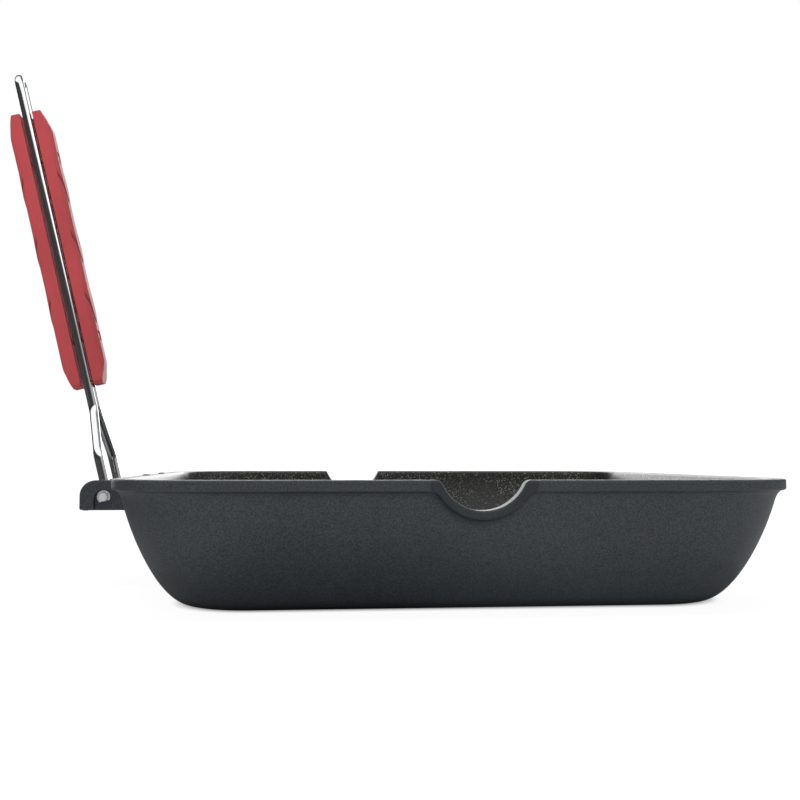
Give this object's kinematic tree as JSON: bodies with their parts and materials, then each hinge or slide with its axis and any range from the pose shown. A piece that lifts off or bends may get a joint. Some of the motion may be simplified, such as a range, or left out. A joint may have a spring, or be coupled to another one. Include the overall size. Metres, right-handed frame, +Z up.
{
  "type": "deep square pan with folding handle",
  "caption": "Deep square cast pan with a banded rim, pouring notches in two opposite sides and a folding wire handle with a split grip, pinned between two ears.",
  "frame": {"origin": "middle of the pan's flat base, on its underside", "axes": "+Z up out of the pan, +X along the line of the handle and away from it, +Y across towards the side with the notch nearer the handle"},
  "size_m": [0.3498, 0.28, 0.2535],
  "materials": {
    "pan_paint": "cast aluminium with a dark grey satin coating, fine sparkle outside and pale specks inside",
    "wire": "bright",
    "grip": "matte",
    "screw": "zinc plated",
    "nut": "turned",
    "ring": "bright spring steel"
  },
  "bodies": {
    "pan": {"pan_body": "pan_paint"},
    "handle": {"handle_wire": "wire", "outer_grip": "grip", "inner_grip": "grip", "upper_grip_screw": "screw", "lower_grip_screw": "screw", "upper_grip_nut": "nut", "lower_grip_nut": "nut", "near_retaining_ring": "ring", "far_retaining_ring": "ring"}
  },
  "joints": [
    {"name": "handle_fold", "type": "hinge", "parent": "pan", "child": "handle", "pos_m": [-0.1564, 0, 0.0419], "axis": [0, 1, 0], "range_deg": [-64.5, 60]}
  ]
}
